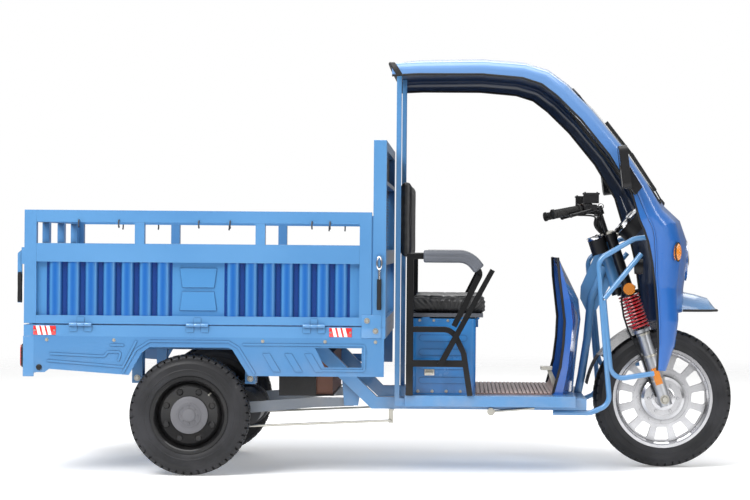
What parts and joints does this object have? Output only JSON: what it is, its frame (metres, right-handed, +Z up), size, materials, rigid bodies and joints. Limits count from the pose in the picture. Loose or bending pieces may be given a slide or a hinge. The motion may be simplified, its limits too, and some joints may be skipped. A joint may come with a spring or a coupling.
{
  "type": "electric cargo tricycle",
  "caption": "Three-wheeled electric cargo carrier with a roofed rider's place, drop-side load bed, fluted panels and a sprung front fork.",
  "frame": {"origin": "on the ground under the middle of the overall length and width", "axes": "+X forward, +Y to the rider's left, +Z up"},
  "size_m": [3.05, 1.1, 1.787],
  "materials": {
    "blue_paint": "gloss",
    "deep_blue_paint": "gloss",
    "black_paint": "satin",
    "tyre_rubber": "matte",
    "black_rubber": "matte",
    "mat_rubber": "matte",
    "grey_plastic": "matte",
    "black_plastic": "satin",
    "cast_alloy": "polished",
    "grey_cap": "satin",
    "chrome": "polished",
    "red_spring": "gloss",
    "orange_lens": "gloss",
    "red_lens": "gloss",
    "lamp_lens": "gloss",
    "screen_glass": "clear",
    "seat_cover": "satin",
    "zinc_steel": "satin",
    "dark_steel": "satin",
    "battery_case": "matte"
  },
  "bodies": {
    "chassis": {"bed_floor": "blue_paint", "headboard_frame": "blue_paint", "headboard_sheets": "grey_plastic", "front_latches": "zinc_steel", "bed_skirts": "blue_paint", "rear_panel": "blue_paint", "tail_lamps": "red_lens", "chassis_frame": "blue_paint", "footboard": "blue_paint", "floor_mat": "mat_rubber", "leg_shield": "deep_blue_paint", "leaf_springs": "dark_steel", "rear_axle": "dark_steel", "radius_arms": "grey_plastic", "brake_linkage": "zinc_steel", "drive_motor": "dark_steel", "battery_tray": "black_paint", "battery_block": "battery_case", "seat_box": "blue_paint", "backrest": "seat_cover", "roof_pillars": "blue_paint", "armrest_frames": "black_paint", "armrest_pads": "grey_plastic", "parking_lever": "black_paint", "brake_pedal": "black_paint", "roof": "blue_paint", "fairing": "blue_paint", "windscreen": "screen_glass", "front_lip": "blue_paint", "headlamp": "lamp_lens", "turn_lamps": "orange_lens", "mirrors": "black_plastic", "guard_tubes": "blue_paint", "horn": "black_plastic"},
    "steering": {"fork_upper": "black_paint", "fork_lowers": "cast_alloy", "fork_springs": "red_spring", "fork_reflectors": "orange_lens", "front_mudguard": "cast_alloy", "handlebar": "black_paint", "grips": "black_rubber", "hand_controls": "black_plastic", "instrument_pod": "black_plastic"},
    "front_wheel": {"front_rim": "cast_alloy", "front_tyre": "tyre_rubber"},
    "rear_wheel_left": {"rear_rim_left": "black_paint", "rear_tyre_left": "tyre_rubber", "rear_hub_cap_left": "grey_cap"},
    "rear_wheel_right": {"rear_rim_right": "black_paint", "rear_tyre_right": "tyre_rubber", "rear_hub_cap_right": "grey_cap"},
    "side_board_left": {"side_board_frame_left": "blue_paint", "side_board_panel_left": "blue_paint"},
    "side_board_right": {"side_board_frame_right": "blue_paint", "side_board_panel_right": "blue_paint"},
    "tailgate": {"tailgate_frame": "blue_paint", "tailgate_panel": "blue_paint"},
    "seat_lid": {"seat_base": "grey_plastic", "seat_cushion": "seat_cover"}
  },
  "joints": [
    {"name": "steering_turn", "type": "hinge", "parent": "chassis", "child": "steering", "pos_m": [0.99068, 0, 0.8623], "axis": [-0.3173, 0, 0.9483], "range_deg": [-35, 35]},
    {"name": "front_wheel_spin", "type": "hinge", "parent": "steering", "child": "front_wheel", "pos_m": [1.219, 0, 0.306], "axis": [0, 1, 0], "continuous": true},
    {"name": "rear_wheel_left_spin", "type": "hinge", "parent": "chassis", "child": "rear_wheel_left", "pos_m": [-0.807, 0.45, 0.254], "axis": [0, 1, 0], "continuous": true},
    {"name": "rear_wheel_right_spin", "type": "hinge", "parent": "chassis", "child": "rear_wheel_right", "pos_m": [-0.807, -0.45, 0.254], "axis": [0, 1, 0], "continuous": true},
    {"name": "side_board_left_drop", "type": "hinge", "parent": "chassis", "child": "side_board_left", "pos_m": [-0.77, 0.508, 0.631], "axis": [-1, 0, 0], "range_deg": [0, 175]},
    {"name": "side_board_right_drop", "type": "hinge", "parent": "chassis", "child": "side_board_right", "pos_m": [-0.77, -0.508, 0.631], "axis": [1, 0, 0], "range_deg": [0, 175]},
    {"name": "tailgate_drop", "type": "hinge", "parent": "chassis", "child": "tailgate", "pos_m": [-1.504, 0, 0.631], "axis": [0, -1, 0], "range_deg": [0, 175]},
    {"name": "seat_lid_lift", "type": "hinge", "parent": "chassis", "child": "seat_lid", "pos_m": [0.4, 0, 0.66], "axis": [0, 1, 0], "range_deg": [0, 75]}
  ]
}
